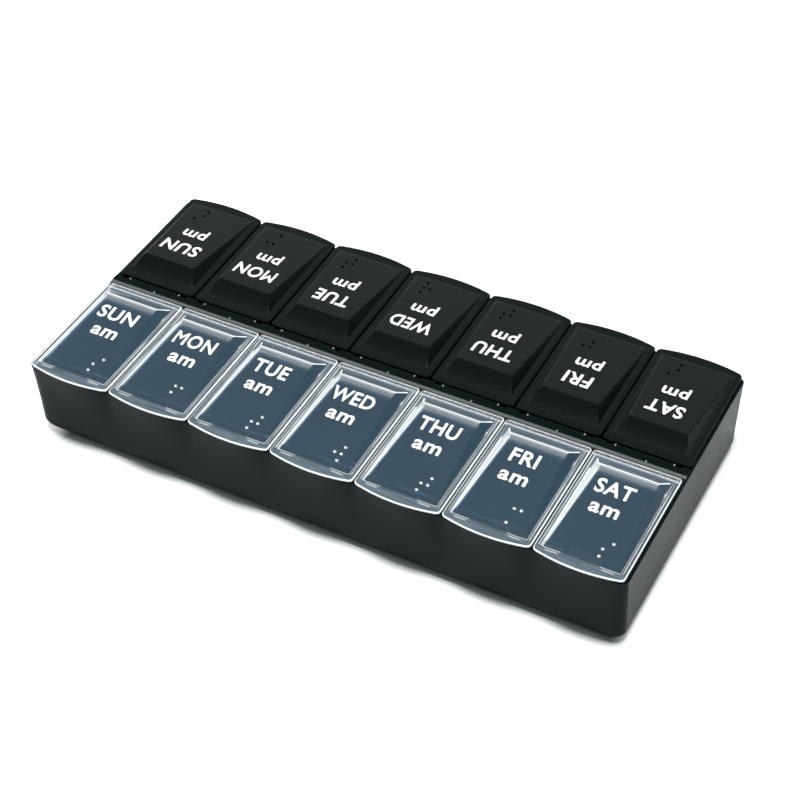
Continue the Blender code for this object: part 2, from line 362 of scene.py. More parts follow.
# %% Dots
dot_radius = 0.00055
dot_height = 0.00045
dot_columns = (0.0045, 0.0068)
dot_rows = (0.0320, 0.0349, 0.0378)
dot_steps = 16
L, R = 0, 1
dots_of_day = {
    "sun": ((R, 0), (L, 1), (L, 2)),
    "mon": ((L, 0), (R, 0), (L, 1)),
    "tue": ((R, 0), (L, 1), (R, 1), (L, 2)),
    "wed": ((R, 0), (L, 1), (R, 1), (R, 2)),
    "thu": ((R, 0), (L, 1), (R, 1), (L, 2)),
    "fri": ((L, 0), (R, 0), (L, 2)),
    "sat": ((R, 0), (L, 1), (L, 2)),
}
swapped = {"mon": dots_of_day["fri"], "fri": dots_of_day["mon"]}
dots_on_lid = {"am": dots_of_day, "pm": {**dots_of_day, **swapped}}


def add_dots(bm, dots):
    for column, row in dots:
        place = Vector((-dot_columns[column], dot_rows[row], 0))
        place.z = top_height(place.y)
        size = Matrix.Diagonal((dot_radius, dot_radius, dot_height, 1))
        tilt = Matrix.Rotation(-top_slope, 4, "X")
        bmesh.ops.create_uvsphere(
            bm, u_segments=dot_steps, v_segments=dot_steps // 2, radius=1,
            matrix=Matrix.Translation(place) @ tilt @ size,
        )


# %% [markdown]
# ## Fourteen lids
#
# The common lid is joined once. Each copy then gets its own dots and is moved to its
# hinge, and the am copies are turned half round first, as the real ones are. The move
# goes into the mesh, so every object stays at the origin and the plastic's grain, which
# reads object coordinates, differs from lid to lid.

# %% Join the common lid
sharp_angle = math.radians(35)


def made(add, name, *arguments):
    bm = bmesh.new()
    add(bm, *arguments)
    return solid_from(bm, name)


def common_lid():
    lid = made(add_flange, "common_lid")
    combine(lid, made(add_foot, "foot"), "UNION")
    combine(lid, made(add_dome, "dome"), "UNION")
    combine(lid, made(add_skirt, "skirt"), "UNION")
    combine(lid, made(add_hollow, "hollow"), "DIFFERENCE")
    combine(lid, made(add_tongue_gap, "tongue_gap"), "DIFFERENCE")
    combine(lid, made(add_tongue, "tongue"), "UNION")
    knuckle = made(add_round_bar, "knuckle", knuckle_radius, knuckle_half_length)
    combine(knuckle, made(add_web, "web"), "UNION")
    combine(knuckle, made(add_round_bar, "pins", pin_radius, knuckle_half_length + pin_length), "UNION")
    combine(lid, knuckle, "UNION")
    return lid


def soften(thing):
    """Clean flats, smooth roundings: what a moulded surface looks like."""
    bm = bmesh.new()
    bm.from_mesh(thing.data)
    bmesh.ops.remove_doubles(bm, verts=bm.verts, dist=merge_distance)
    bmesh.ops.dissolve_limit(bm, angle_limit=flat_angle, verts=bm.verts, edges=bm.edges)
    bm.to_mesh(thing.data)
    bm.free()
    thing.data.shade_smooth()
    thing.data.set_sharp_from_angle(angle=sharp_angle)
    weighted = thing.modifiers.new("weighted_normals", "WEIGHTED_NORMAL")
    weighted.keep_sharp = True


def seat_of(node):
    """Where a lid modelled at the origin goes: at its hinge, turned to face its own side."""
    point = hinge_points[node]
    turn = Matrix.Rotation(math.pi, 4, "Z") if point.y < 0 else Matrix.Identity(4)
    return Matrix.Translation(point) @ turn


# %% [markdown]
# Every lid is a full copy of the common one, since its dots and its place are its own.
# It then stands for its node of the frame and turns with it.

# %% Place the lids
lids = {}
pattern = common_lid()
for row, side in row_sides.items():
    for day in days:
        node = f"{day}_{row}_lid"
        lid = bpy.data.objects.new(f"{day}_{row}_shell", pattern.data.copy())
        bpy.context.scene.collection.objects.link(lid)
        combine(lid, made(add_dots, "dots", dots_on_lid[row][day]), "UNION")
        soften(lid)
        lid.data.transform(seat_of(node))
        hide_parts(node)
        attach(lid, node)
        lids[node] = lid
bpy.data.meshes.remove(pattern.data)
print("lids:", len(lids), "of", len(lids["wed_am_lid"].data.polygons), "faces each")

# %% [markdown]
# ## The tray's walls
#
# The tray is one moulding. Its foot is straight and rounded under, and its long walls
# grow a shallow bow in front of every lid as they rise, so the whole side is a ruled
# surface. It is lofted through level outlines from the underside to the seat that the
# lids rest on. At the two ends the seat runs on past the lids as a narrow ledge, whose
# shadow draws a dark line along the last lid.

# %% Tray outline and walls
seat_clearance = 0.0003
rim_drop = 0.0004
rim_clearance = 0.00025
end_wall_rim = 0.0011
end_wall_draft = 0.0001
base_half_width = 0.0487
wall_top_inset = 0.0003
rim_corner_radius = 0.0022
base_corner_radius = 0.0036
base_radius = 0.0046
base_end_inset = 0.0058
wall_edge_radius = 0.0003
bay_steps = 16
base_steps = 8
wall_steps = 6
edge_steps = 3

closed_height = hinge_point.z + flange_top
wall_top = closed_height - flange_thickness - seat_clearance
rim_top = closed_height - rim_drop
rim_half_length = tray_high.x
base_half_length = rim_half_length - end_wall_draft
row_half_length = len(days) * lid_pitch / 2
corner_reach = hinge_point.y + corner_far
notch_reach = corner_reach - wall_top_inset


def add_loft(bm, loops):
    rings = [[bm.verts.new(point) for point in loop] for loop in loops]
    bm.faces.new(reversed(rings[0]))
    bm.faces.new(rings[-1])
    count = len(rings[0])
    for low, high in zip(rings, rings[1:]):
        for k in range(count):
            after = (k + 1) % count
            bm.faces.new((low[k], low[after], high[after], high[k]))


def tray_loop(z, end_inset, side_inset):
    """The tray's outline at a height, drawn in at its ends and its sides."""
    share = z / rim_top
    half_length = base_half_length + (rim_half_length - base_half_length) * share - end_inset
    shrink = half_length / (half_length + end_inset)
    notch = base_half_width + (notch_reach - base_half_width) * share - side_inset
    corner_radius = base_corner_radius + (rim_corner_radius - base_corner_radius) * share
    side = []
    count = len(days) * bay_steps
    for k in range(count + 1):
        x = row_half_length * (2 * k / count - 1)
        off_centre = (x + row_half_length) % lid_pitch - lid_pitch / 2
        if abs(x) < row_half_length - base_corner_radius:
            bulge = lid_bow * (1 - (2 * off_centre / lid_pitch) ** 2)
            side.append((x * shrink, -notch - bulge * share ** 3))
    start_x, start_y = side.pop()
    for k in range(corner_steps + 1):
        angle = math.pi / 2 * k / corner_steps
        reach = (half_length - start_x) * math.sin(angle)
        side.append((start_x + reach, start_y + corner_radius * (1 - math.cos(angle))))
    front = [(-x, y) for x, y in reversed(side[-corner_steps:])] + side[1:]
    return [(x, y, z) for x, y in front + [(-x, -y) for x, y in front]]


def add_walls(bm):
    loops = []
    for k in range(base_steps + 1):
        angle = math.pi / 2 * k / base_steps
        drawn_in = 1 - math.sin(angle)
        z = base_radius * (1 - math.cos(angle))
        loops.append(tray_loop(z, base_end_inset * drawn_in, base_radius * drawn_in))
    rise = wall_top - wall_edge_radius - base_radius
    for k in range(1, wall_steps + 1):
        loops.append(tray_loop(base_radius + rise * k / wall_steps, 0, 0))
    for k in range(1, edge_steps + 1):
        angle = math.pi / 2 * k / edge_steps
        z = wall_top - wall_edge_radius * (1 - math.sin(angle))
        loops.append(tray_loop(z, 0, wall_edge_radius * (1 - math.cos(angle))))
    add_loft(bm, loops)


# %% [markdown]
# ## The wells
#
# Fourteen rounded pockets, a little narrower at the bottom so that the tray leaves its
# mould and a fingertip sweeps the tablets out. Each pocket is a loft through rounded
# rectangles: a rounded floor, a straight wall, and a soft flare at the top where a
# sharp edge would be unpleasant.

# %% Wells
partition_thickness = 0.0014
front_wall_thickness = 0.0015
floor_thickness = 0.0016
well_draft = 0.0004
well_front_draft = 0.0008
well_corner_radius = 0.0025
well_floor_radius = 0.0030
trough_half_width = 0.0016
trough_wall = 0.0012
least_radius = 0.0002

well_half_width = (lid_pitch - partition_thickness) / 2
well_near = hinge_point.y + trough_half_width + trough_wall
well_far = notch_reach - front_wall_thickness


def rounded_rectangle(low, high, radius, z):
    """Points of a level rectangle with round corners, in order."""
    loop = []
    corners = ((high[0], high[1]), (low[0], high[1]), (low[0], low[1]), (high[0], low[1]))
    for quarter, (x, y) in enumerate(corners):
        centre_x = min(max(x, low[0] + radius), high[0] - radius)
        centre_y = min(max(y, low[1] + radius), high[1] - radius)
        for k in range(corner_steps + 1):
            angle = math.pi / 2 * (quarter + k / corner_steps)
            loop.append((centre_x + radius * math.cos(angle), centre_y + radius * math.sin(angle), z))
    return loop


def well_loop(x, side, z, grow):
    down = 1 - (z - floor_thickness) / (wall_top - floor_thickness)
    half_width = well_half_width - well_draft * down + grow
    near = well_near + well_draft * down - grow
    far = well_far - well_front_draft * down + grow
    y_range = sorted((side * near, side * far))
    radius = max(well_corner_radius + grow, least_radius)
    return rounded_rectangle((x - half_width, y_range[0]), (x + half_width, y_range[1]), radius, z)


def add_wells(bm):
    for point in hinge_points.values():
        side = math.copysign(1, point.y)
        loops = []
        for k in range(base_steps + 1):
            angle = math.pi / 2 * k / base_steps
            z = floor_thickness + well_floor_radius * (1 - math.cos(angle))
            loops.append(well_loop(point.x, side, z, well_floor_radius * (math.sin(angle) - 1)))
        for k in range(edge_steps + 1):
            angle = math.pi / 2 * k / edge_steps
            z = wall_top - wall_edge_radius * (1 - math.sin(angle))
            loops.append(well_loop(point.x, side, z, wall_edge_radius * (1 - math.cos(angle))))
        loops.append(well_loop(point.x, side, wall_top + overrun, wall_edge_radius))
        add_loft(bm, loops)


# %% [markdown]
# ## The spine
#
# Between the rows runs a bar with a trough on each side. The lids' pins sit in small
# posts in the troughs, and the lids' tails swing down into them. The bar has a chamfer
# towards the am lids and a small lip towards the pm lids, which narrows the slot there.
# On the pm side, opposite each post, lies a shallow notch. Underneath, the spine is
# hollow.

# %% Spine
bar_half_width = 0.0018
bar_drop = 0.0004
bar_chamfer = 0.0007
lip_reach = 0.0021
lip_height = 0.0005
glint_mark_width = 0.00034
glint_mark_length = 0.0008
glint_mark_rise = 0.00008
glint_marks_on_lid = ((-0.0098, 0.0013), (0.0098, 0.0013), (0.0014, -0.0011))
trough_depth = 0.0067
spine_wall = 0.0014
ear_radius = 0.0013
ear_thickness = 0.0022
ear_clearance = 0.0003
pin_clearance = 0.00025
notch_depth = 0.0005
catch_width = 0.0092
catch_reach = 0.0007
catch_height = 0.0010
catch_drop = 0.0005

trough_floor = closed_height - trough_depth
inner_half_length = rim_half_length - end_wall_rim + rim_clearance
bar_top = closed_height - bar_drop


def add_troughs(bm):
    reach = hinge_point.y + trough_half_width
    add_block(bm, (-inner_half_length, -reach, trough_floor), (inner_half_length, reach, wall_top + overrun))


def add_bar(bm):
    add_block(
        bm, (-inner_half_length - sink, -bar_half_width, trough_floor - sink),
        (inner_half_length + sink, bar_half_width, bar_top),
    )
    upper = [edge for edge in bm.edges if min(vert.co.z for vert in edge.verts) > wall_top]
    along = [edge for edge in upper if edge.verts[0].co.y == edge.verts[1].co.y]
    round_edges(bm, [edge for edge in along if edge.verts[0].co.y > 0], wall_edge_radius, edge_steps)
    round_edges(bm, [edge for edge in along if edge.is_valid and edge.verts[0].co.y < 0], bar_chamfer, 1)


def add_lip(bm):
    low = (-row_half_length, bar_half_width - 2 * wall_edge_radius, bar_top - lip_height)
    add_block(bm, low, (row_half_length, lip_reach, bar_top))


def add_glint_marks(bm):
    """Small pale marks on the bar: the two beside each pm lid's hinge are painted glints, the third is a
    gate mark of the mould.
    """
    for day in days:
        centre = hinge_points[f"{day}_pm_lid"].x
        for offset, y in glint_marks_on_lid:
            low = (centre + offset, y, bar_top - sink)
            add_block(bm, low, (centre + offset + glint_mark_width, y + glint_mark_length, bar_top + glint_mark_rise))


def add_channel(bm):
    half_width = well_near - spine_wall
    half_length = row_half_length - spine_wall - base_corner_radius
    under_trough = trough_floor - spine_wall
    add_block(bm, (-half_length, -half_width, -overrun), (half_length, half_width, under_trough))


def ear_places():
    for point in hinge_points.values():
        for end in (-1, 1):
            yield point + Vector((end * (knuckle_half_length + ear_clearance + ear_thickness / 2), 0, 0))


def add_ears(bm):
    for place in ear_places():
        profile = [(-ear_radius, trough_floor - sink), (ear_radius, trough_floor - sink)]
        for k in range(round_steps // 2 + 1):
            angle = 2 * math.pi * k / round_steps
            profile.append((ear_radius * math.cos(angle), place.z + ear_radius * math.sin(angle)))
        faces = (place.x - ear_thickness / 2, place.x + ear_thickness / 2)
        add_loft(bm, [[(x, place.y + y, z) for y, z in profile] for x in faces])


def add_pin_holes(bm):
    for place in ear_places():
        turn = Matrix.Translation(place) @ Matrix.Rotation(math.pi / 2, 4, "Y")
        bmesh.ops.create_cone(
            bm, cap_ends=True, segments=round_steps, radius1=pin_radius + pin_clearance,
            radius2=pin_radius + pin_clearance, depth=ear_thickness + 2 * sink, matrix=turn,
        )


def add_notches(bm):
    half = ear_thickness / 2
    low_y, high_y = bar_half_width - notch_depth, lip_reach + sink
    for place in ear_places():
        if place.y > 0:
            add_block(bm, (place.x - half, low_y, place.z), (place.x + half, high_y, rim_top + sink))


def add_catches(bm):
    top = wall_top - catch_drop
    for point in hinge_points.values():
        side = math.copysign(1, point.y)
        y_range = sorted((side * (well_far - catch_reach), side * (well_far + sink + well_front_draft)))
        half = catch_width / 2
        add_block(bm, (point.x - half, y_range[0], top - catch_height), (point.x + half, y_range[1], top))


# %% [markdown]
# ## One moulding
#
# The walls are a full block. Troughs, channel and wells are cut from it, and what
# stands in them is added afterwards. The notches and the pin holes are small cuts in
# the added parts.

# %% Join the tray
tray = made(add_walls, "tray_body")
combine(tray, made(add_troughs, "troughs"), "DIFFERENCE")
combine(tray, made(add_channel, "channel"), "DIFFERENCE")
combine(tray, made(add_wells, "wells"), "DIFFERENCE")
combine(tray, made(add_bar, "bar"), "UNION")
combine(tray, made(add_lip, "lip"), "UNION")
combine(tray, made(add_notches, "notches"), "DIFFERENCE")
combine(tray, made(add_glint_marks, "glint_marks"), "UNION")
combine(tray, made(add_catches, "catches"), "UNION")
combine(tray, made(add_ears, "ears"), "UNION")
combine(tray, made(add_pin_holes, "pin_holes"), "DIFFERENCE")
soften(tray)
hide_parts("tray")
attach(tray, "tray")
print("tray of", len(tray.data.polygons), "faces")

# %% [markdown]
# ## The printed words
#
# Each lid carries its day and its half of the day in white ink, in a plain bold
# typeface. The built-in font is regular, so the outline is grown a little before it
# becomes a mesh. The mesh is then stretched to the printed height and width, laid on
# the dome's slope and lifted by the thickness of the ink. The am words read from the
# front and the pm words from the back.

# %% Words as meshes
ink_thickness = 0.00004
boldness = 0.033
tracking = 1.09
word_steps = 6


def word_mesh(word):
    curve = bpy.data.curves.new(word, "FONT")
    curve.body = word
    curve.size = 1
    curve.bevel_depth = boldness
    curve.bevel_resolution = 0
    curve.space_character = tracking
    curve.resolution_u = word_steps
    holder = bpy.data.objects.new(word, curve)
    bpy.context.scene.collection.objects.link(holder)
    mesh = bpy.data.meshes.new_from_object(holder.evaluated_get(bpy.context.evaluated_depsgraph_get()))
    bpy.data.objects.remove(holder)
    bpy.data.curves.remove(curve)
    return mesh


def span(mesh, axis):
    places = [vert.co[axis] for vert in mesh.vertices]
    return min(places), max(places)


# %% [markdown]
# Heights, widths and places of the words are distances on the lid from its hinge axis.
# The print is not quite central, and on three lids it strays a little more.

# %% Lay the words on the lids
day_height = {"am": 0.0056, "pm": 0.0060}
day_top = {"am": 0.0098, "pm": 0.0111}
half_height = 0.0037
half_top = {"am": 0.0194, "pm": 0.0214}
day_width = {
    "sun": 0.0145, "mon": 0.0153, "tue": 0.0129, "wed": 0.0151, "thu": 0.0140, "fri": 0.0094, "sat": 0.0125,
}
half_width = {"am": 0.0096, "pm": 0.0091}
print_shift = 0.0010
stray_of_print = {"sun_am": 0.0008, "mon_am": 0.0010, "thu_am": 0.0006}


def lay_word(word, row, top, height, width):
    """A word's mesh in the lid's own coordinates, the tops of its letters towards the hinge."""
    mesh = word_mesh(word)
    left, right = span(mesh, 0)
    high = span(mesh, 1)[1]
    stretch = Matrix.Diagonal((width / (right - left), height / high, ink_thickness / boldness, 1))
    mesh.transform(stretch @ Matrix.Translation((-(left + right) / 2, -high, 0)))
    # The print sits a little towards -X on both rows, and an am lid is turned half round.
    place = Vector((-row_sides[row] * print_shift, top, top_height(top)))
    turn = Matrix.Rotation(-top_slope, 4, "X") @ Matrix.Rotation(math.pi, 4, "Z")
    mesh.transform(Matrix.Translation(place) @ turn)
    return mesh


def print_on(node, day, row):
    bm = bmesh.new()
    lines = (
        (day.upper(), row, day_top[row], day_height[row], day_width[day]),
        (row, row, half_top[row], half_height, half_width[row]),
    )
    for line in lines:
        mesh = lay_word(*line)
        bm.from_mesh(mesh)
        bpy.data.meshes.remove(mesh)
    words = solid_from(bm, f"{day}_{row}_print")
    stray = Matrix.Translation((stray_of_print.get(f"{day}_{row}", 0), 0, 0))
    words.data.transform(stray @ seat_of(node))
    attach(words, node)
    return words


words = {}
for row in row_sides:
    for day in days:
        node = f"{day}_{row}_lid"
        words[node] = print_on(node, day, row)
print("words on", len(words), "lids")

# %% [markdown]
# ## Where a smoky lid is bright
#
# A see-through moulding gathers light and lets it out where its surface turns: at the
# rim, behind the ridge and round the foot of the dome. Those faces get a painted
# highlight, a lighter colour than the flats. Each face is sorted by where it lies on the
# lid and which way it looks. A raised dot gets a painted highlight on the side that faces
# outwards and painted shade on the other.

# %% Sort a lid's faces
body_finish, flange_finish, edge_highlight, side_sheen = 0, 1, 2, 3
turned = 0.97
upright = 0.5
steep = 0.7
hip_lean = 0.05
dot_lean = 0.05


def on_dot(centre, normal):
    stands_out = centre.z > top_height(centre.y) + merge_distance
    return stands_out and centre.y > min(dot_rows) - dot_radius and normal.z > 0


def finish_of(centre, normal):
    across, out = abs(centre.x), centre.y
    if normal.z > turned and abs(centre.z - flange_top) < merge_distance:
        return flange_finish
    if centre.z < flange_top - rim_radius:
        return edge_highlight if normal.z < upright and across > lid_half_width - rim_radius else flange_finish
    on_dome = across < dome_half_width and dome_near < out < dome_far
    if not on_dome:
        return edge_highlight if normal.z < turned else flange_finish
    if normal.z < 0:
        return body_finish
    if centre.z < flange_top + foot_height:
        return edge_highlight
    # Painted highlight on a dot's outward side, painted shade on the rest.
    if on_dot(centre, normal):
        return edge_highlight if normal.y > dot_lean else side_sheen
    if abs(normal.x) > steep:
        return side_sheen
    on_ridge = -ridge_radius < out - ridge_y < 0
    on_hip = out < ridge_y and abs(normal.x) > hip_lean
    return edge_highlight if on_ridge or on_hip else body_finish


def sort_faces(thing, seat, rule):
    back = seat.inverted()
    for face in thing.data.polygons:
        face.material_index = int(rule(back @ face.center, back.to_3x3() @ face.normal))


# %% [markdown]
# ## Shader groups
#
# Three effects are shared by more than one plastic, so each is a node group that is
# built once. *Skin* is the fine spark texture of the mould and a slow drift in tone.
# *Edges* finds where the surface turns: it compares the true normal with one that is
# averaged over a small radius. *Lid place* says where on its lid a point is, worked out
# from the object coordinates, because all the lids stand in one regular row.

# %% Build the groups
def new_group(name, inputs, outputs):
    group = bpy.data.node_groups.new(name, "ShaderNodeTree")
    for title, value in inputs.items():
        socket = group.interface.new_socket(title, in_out="INPUT", socket_type="NodeSocketFloat")
        socket.default_value = value
    for title in outputs:
        group.interface.new_socket(title, in_out="OUTPUT", socket_type="NodeSocketFloat")
    return group, group.nodes.new("NodeGroupInput"), group.nodes.new("NodeGroupOutput")


def math_node(tree, operation, first, second=None, clamp=False):
    node = tree.nodes.new("ShaderNodeMath")
    node.operation = operation
    node.use_clamp = clamp
    for socket, value in zip(node.inputs, (first, second)):
        if isinstance(value, bpy.types.NodeSocket):
            tree.links.new(value, socket)
        elif value is not None:
            socket.default_value = value
    return node.outputs[0]


def object_noise(tree, scale, detail, coordinates=None):
    noise = tree.nodes.new("ShaderNodeTexNoise")
    noise.inputs["Detail"].default_value = detail
    if isinstance(scale, bpy.types.NodeSocket):
        tree.links.new(scale, noise.inputs["Scale"])
    else:
        noise.inputs["Scale"].default_value = scale
    if coordinates is None:
        coordinates = tree.nodes.new("ShaderNodeTexCoord").outputs["Object"]
    tree.links.new(coordinates, noise.inputs["Vector"])
    return noise.outputs["Fac"]


def skin_group():
    group, given, out = new_group("skin", {"Grain Scale": 3500.0, "Drift Scale": 45.0}, ("Grain", "Drift"))
    grain = object_noise(group, given.outputs["Grain Scale"], 2.0)
    drift = object_noise(group, given.outputs["Drift Scale"], 3.0)
    group.links.new(grain, out.inputs["Grain"])
    group.links.new(drift, out.inputs["Drift"])
    return group


def edges_group():
    group, given, out = new_group("edges", {"Radius": 0.0005, "Gain": 2.0}, ("Mask",))
    bevel = group.nodes.new("ShaderNodeBevel")
    bevel.samples = 8
    group.links.new(given.outputs["Radius"], bevel.inputs["Radius"])
    geometry = group.nodes.new("ShaderNodeNewGeometry")
    dot = group.nodes.new("ShaderNodeVectorMath")
    dot.operation = "DOT_PRODUCT"
    group.links.new(bevel.outputs["Normal"], dot.inputs[0])
    group.links.new(geometry.outputs["True Normal"], dot.inputs[1])
    bend = math_node(group, "SUBTRACT", 1.0, dot.outputs["Value"])
    group.links.new(math_node(group, "MULTIPLY", bend, given.outputs["Gain"], True), out.inputs["Mask"])
    return group


def lid_place_group():
    """How far a point is from the middle of its lid and of its row, and from the lid's hinge edge."""
    group, _, out = new_group("lid_place", {}, ("Week", "Offset", "Across", "Along"))
    split = group.nodes.new("ShaderNodeSeparateXYZ")
    group.links.new(group.nodes.new("ShaderNodeTexCoord").outputs["Object"], split.inputs["Vector"])
    group.links.new(split.outputs["X"], out.inputs["Week"])
    wrapped = group.nodes.new("ShaderNodeMath")
    wrapped.operation = "WRAP"
    group.links.new(split.outputs["X"], wrapped.inputs[0])
    wrapped.inputs[1].default_value = lid_pitch / 2
    wrapped.inputs[2].default_value = -lid_pitch / 2
    group.links.new(wrapped.outputs[0], out.inputs["Offset"])
    group.links.new(math_node(group, "ABSOLUTE", wrapped.outputs[0]), out.inputs["Across"])
    reach = math_node(group, "ABSOLUTE", split.outputs["Y"])
    hinge_edge = hinge_point.y + lid_near
    group.links.new(math_node(group, "SUBTRACT", reach, hinge_edge), out.inputs["Along"])
    return group


skin = skin_group()
edges = edges_group()
lid_place = lid_place_group()

# %% [markdown]
# ## Helpers for the finishes
#
# Every plastic is one Principled shader whose colour and roughness change over the
# surface. Most of what a clear moulding shows are lines of light along its edges, so
# the helpers here make ramps, soft lines at a given place, and streaks.

# %% Helpers for materials
streak_detail = 3.0
streak_softness = 0.2
unlit = (0.0, 0.0, 0.0)


def plastic(name, roughness, transmission=0.0, specular=0.5, ior=1.5):
    material = bpy.data.materials.new(name)
    material.use_nodes = True
    shader = material.node_tree.nodes["Principled BSDF"]
    shader.inputs["Roughness"].default_value = roughness
    shader.inputs["Transmission Weight"].default_value = transmission
    shader.inputs["Specular IOR Level"].default_value = specular
    shader.inputs["IOR"].default_value = ior
    return material, material.node_tree, shader


def placed(tree, group, **values):
    node = tree.nodes.new("ShaderNodeGroup")
    node.node_tree = group
    for title, value in values.items():
        node.inputs[title.replace("_", " ")].default_value = value
    return node


def product(tree, first, *others):
    for other in others:
        first = math_node(tree, "MULTIPLY", first, other)
    return first


def inverse(tree, mask):
    return math_node(tree, "SUBTRACT", 1.0, mask)


def blend_colours(tree, share, first, second):
    mix = tree.nodes.new("ShaderNodeMix")
    mix.data_type = "RGBA"
    tree.links.new(share, mix.inputs["Factor"])
    for socket, colour in ((mix.inputs[6], first), (mix.inputs[7], second)):
        if isinstance(colour, bpy.types.NodeSocket):
            tree.links.new(colour, socket)
        else:
            socket.default_value = (*colour, 1)
    return mix.outputs[2]


def between(tree, value, low, high):
    ranged = tree.nodes.new("ShaderNodeMapRange")
    tree.links.new(value, ranged.inputs["Value"])
    ranged.inputs["To Min"].default_value = low
    ranged.inputs["To Max"].default_value = high
    return ranged.outputs["Result"]


def ramp(tree, value, start, stop, first=0.0, last=1.0):
    """The first value before start and the last after stop, with a soft step between them."""
    ranged = tree.nodes.new("ShaderNodeMapRange")
    ranged.interpolation_type = "SMOOTHSTEP"
    tree.links.new(value, ranged.inputs["Value"])
    ranged.inputs["From Min"].default_value = start
    ranged.inputs["From Max"].default_value = stop
    ranged.inputs["To Min"].default_value = first
    ranged.inputs["To Max"].default_value = last
    return ranged.outputs["Result"]


def line_at(tree, value, place, half_width):
    """1 on a soft line at a place, 0 away from it."""
    away = math_node(tree, "ABSOLUTE", math_node(tree, "SUBTRACT", value, place))
    return inverse(tree, ramp(tree, away, half_width / 2, half_width))


def streaks(tree, size, contrast=1.0):
    """Noise drawn out in lines: size holds its scale along X, Y and Z."""
    mapping = tree.nodes.new("ShaderNodeMapping")
    mapping.inputs["Scale"].default_value = size
    tree.links.new(tree.nodes.new("ShaderNodeTexCoord").outputs["Object"], mapping.inputs["Vector"])
    noise = object_noise(tree, 1.0, streak_detail, mapping.outputs["Vector"])
    half = streak_softness / contrast
    return ramp(tree, noise, 0.5 - half, 0.5 + half)


def rough_to_touch(tree, shader, height, strength, distance):
    bump = tree.nodes.new("ShaderNodeBump")
    bump.inputs["Strength"].default_value = strength
    bump.inputs["Distance"].default_value = distance
    tree.links.new(height, bump.inputs["Height"])
    tree.links.new(bump.outputs["Normal"], shader.inputs["Normal"])


# %% [markdown]
# ## The satin plastics
#
# The black plastic is deep and satin. Its reflection is weak when it is seen face on and
# strong at a glancing angle, which is why the end of the tray looks much lighter than
# its front. Edges are a little paler, partly from wear where hands touch and partly as a
# painted highlight. The same recipe with other values gives the painted light on the
# spine's chamfer, the pale marks on the bar, most of them painted glints, and the painted
# shade of the evening lids' dots.

# %% Satin plastics
wear_and_highlight_radius = 0.0003
grain_height = 0.00003
pale_share = 1.35
roughness_drift = 0.15


def satin_plastic(name, roughness, specular, grain, deep, wear_and_highlight, gain):
    material, tree, shader = plastic(name, roughness, specular=specular)
    surface = placed(tree, skin)
    rim = placed(tree, edges, Radius=wear_and_highlight_radius, Gain=gain)
    pale = [pale_share * part for part in deep]
    tone = blend_colours(tree, surface.outputs["Drift"], deep, pale)
    # Paler edges: partly wear, partly a painted highlight along the edge.
    tone = blend_colours(tree, rim.outputs["Mask"], tone, wear_and_highlight)
    tree.links.new(tone, shader.inputs["Base Color"])
    low, high = (1 - roughness_drift) * roughness, (1 + roughness_drift) * roughness
    tree.links.new(between(tree, surface.outputs["Drift"], low, high), shader.inputs["Roughness"])
    rough_to_touch(tree, shader, surface.outputs["Grain"], grain, grain_height)
    return material


lid_black = satin_plastic(
    "lid_black", roughness=0.24, specular=0.21, grain=0.10,
    deep=(0.0026, 0.0042, 0.0044), wear_and_highlight=(0.078, 0.085, 0.082), gain=2.0,
)
# Painted shade: a black lid's dots are darker and reflect almost nothing.
dot_painted_dark = satin_plastic(
    "dot_painted_dark", roughness=0.30, specular=0.02, grain=0.10,
    deep=(0.0008, 0.0012, 0.0012), wear_and_highlight=(0.0010, 0.0014, 0.0014), gain=1.0,
)
tray_black = satin_plastic(
    "tray_black", roughness=0.34, specular=0.06, grain=0.25,
    deep=(0.0020, 0.0048, 0.0050), wear_and_highlight=(0.070, 0.080, 0.082), gain=1.2,
)
# Painted light: the spine's chamfer is pale where light through the clear lids falls on it.
spine_painted_light = satin_plastic(
    "spine_painted_light", roughness=0.40, specular=0.10, grain=0.25,
    deep=(0.105, 0.118, 0.114), wear_and_highlight=(0.125, 0.138, 0.134), gain=1.0,
)
# Painted glints: two of the three marks by each pm lid stand for glints, and the third is a gate mark.
glint_mark_pale = satin_plastic(
    "glint_mark_pale", roughness=0.40, specular=0.10, grain=0.25,
    deep=(0.25, 0.27, 0.27), wear_and_highlight=(0.29, 0.31, 0.31), gain=1.0,
)

# %% [markdown]
# ## The smoky plastic of the dome
#
# A tinted clear plastic over a black tray reads as dark slate blue. Real glass alone
# would show every wall below it, so the transmission is only partial and the slate is
# painted. Light that is caught in the moulding comes out at its bends, and that light is
# painted into the colour too: a pale painted haze below the ridge, a narrow painted
# highlight on the ridge's crest, and a tapering painted highlight that runs down the left
# side of the long face. The crest, that band and the steep face behind the ridge also get
# a faint painted glow, so they are as bright in shade as in light.

# %% Smoky dome
slate = (0.092, 0.166, 0.236)
slate_worn = (0.111, 0.187, 0.258)
smoke_grey = (0.178, 0.232, 0.272)
smoke_deep = (0.100, 0.138, 0.165)
smoke_dark = (0.055, 0.068, 0.078)
smoke_pale = (0.56, 0.60, 0.63)
smoke_highlight = (0.84, 0.88, 0.91)
smoke_white = (0.97, 0.98, 0.99)

ridge_place = ridge_y - lid_near
toe_place = dome_far - lid_near
painted_haze_depth = 0.0042
painted_haze_rise = 0.0030
painted_haze_share = 0.62
crest_highlight_depth = 0.0016
crest_light = 0.8
riser_light = 0.22
side_highlight_at_ridge = 0.0013
side_highlight_at_toe = 0.0004
side_highlight_core = 0.70
dome_glow = 0.32
dome_roughness = (0.04, 0.08)


